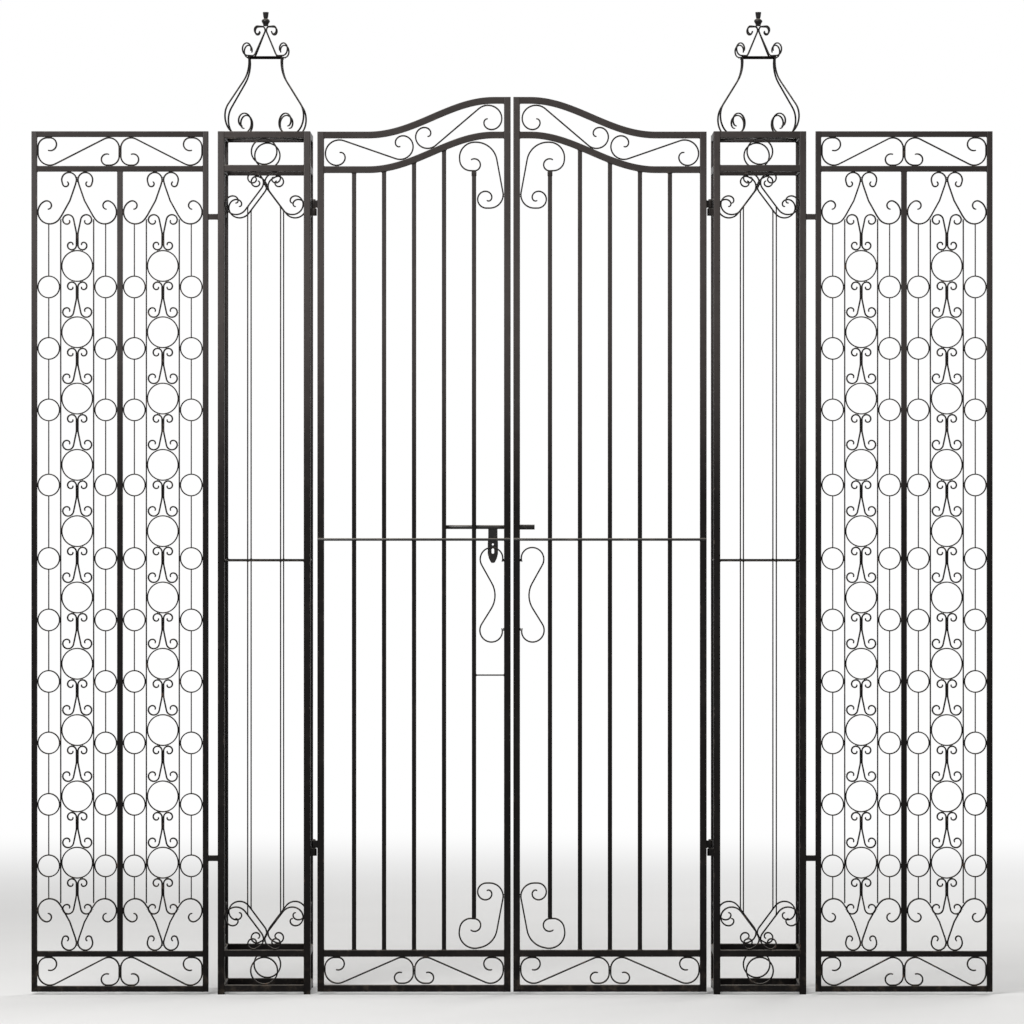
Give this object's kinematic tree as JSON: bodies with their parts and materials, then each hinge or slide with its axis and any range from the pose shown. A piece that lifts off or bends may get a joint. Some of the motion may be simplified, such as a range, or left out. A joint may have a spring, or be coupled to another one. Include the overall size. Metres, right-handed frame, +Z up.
{
  "type": "wrought iron entrance gate",
  "caption": "Double-leaf wrought iron gate with a climbing scrolled crest, hung between open box posts with scroll finials, with ringed fence panels at the sides.",
  "frame": {"origin": "under the foot of the left post's hinge upright, at the middle of the gate's thickness", "axes": "+Z up, +X along the gate to the right as seen from the street, +Y away from the street"},
  "size_m": [2.884, 0.282, 2.9575],
  "materials": {
    "post_iron": "satin dark brown-black paint",
    "finial_iron": "satin dark brown-black paint",
    "fence_iron": "satin dark brown-black paint",
    "leaf_iron": "satin dark brown-black paint",
    "fittings": "satin dark paint, rubbed where it slides"
  },
  "bodies": {
    "posts_and_fences": {"left_post_uprights": "post_iron", "left_post_rails": "post_iron", "left_post_scrollwork": "post_iron", "left_finial_legs": "finial_iron", "left_finial_collar": "finial_iron", "left_finial_scrolls": "finial_iron", "left_finial_cap": "finial_iron", "right_post_uprights": "post_iron", "right_post_rails": "post_iron", "right_post_scrollwork": "post_iron", "right_finial_legs": "finial_iron", "right_finial_collar": "finial_iron", "right_finial_scrolls": "finial_iron", "right_finial_cap": "finial_iron", "finial_straps": "finial_iron", "left_fence_frame": "fence_iron", "left_fence_frieze": "fence_iron", "left_fence_outer_light": "fence_iron", "left_fence_inner_light": "fence_iron", "right_fence_frame": "fence_iron", "right_fence_frieze": "fence_iron", "right_fence_outer_light": "fence_iron", "right_fence_inner_light": "fence_iron", "fence_brackets": "fence_iron", "hinge_pintles": "fittings"},
    "left_leaf": {"left_hinge_stile": "leaf_iron", "left_meeting_stile": "leaf_iron", "left_leaf_rails": "leaf_iron", "left_leaf_bars": "leaf_iron", "left_mid_strip": "leaf_iron", "left_crest_scrolls": "leaf_iron", "left_foot_scrolls": "leaf_iron", "left_corner_scrolls": "leaf_iron", "left_lock_scroll": "leaf_iron", "left_hinge_eyes": "fittings", "bolt_guides": "fittings"},
    "right_leaf": {"right_hinge_stile": "leaf_iron", "right_meeting_stile": "leaf_iron", "right_leaf_rails": "leaf_iron", "right_leaf_bars": "leaf_iron", "right_mid_strip": "leaf_iron", "right_crest_scrolls": "leaf_iron", "right_foot_scrolls": "leaf_iron", "right_corner_scrolls": "leaf_iron", "right_lock_scroll": "leaf_iron", "right_hinge_eyes": "fittings", "bolt_keeper": "fittings"},
    "bolt": {"bolt_rod": "fittings", "bolt_handle": "fittings"}
  },
  "joints": [
    {"name": "left_leaf_hinge", "type": "hinge", "parent": "posts_and_fences", "child": "left_leaf", "pos_m": [0.0205, 0.01, 0.415], "axis": [0, 0, 1], "range_deg": [0, 90]},
    {"name": "right_leaf_hinge", "type": "hinge", "parent": "posts_and_fences", "child": "right_leaf", "pos_m": [1.2095, 0.01, 0.415], "axis": [0, 0, -1], "range_deg": [0, 90]},
    {"name": "bolt_slide", "type": "slide", "parent": "left_leaf", "child": "bolt", "axis": [1, 0, 0], "range_m": [0, 0.018]}
  ]
}
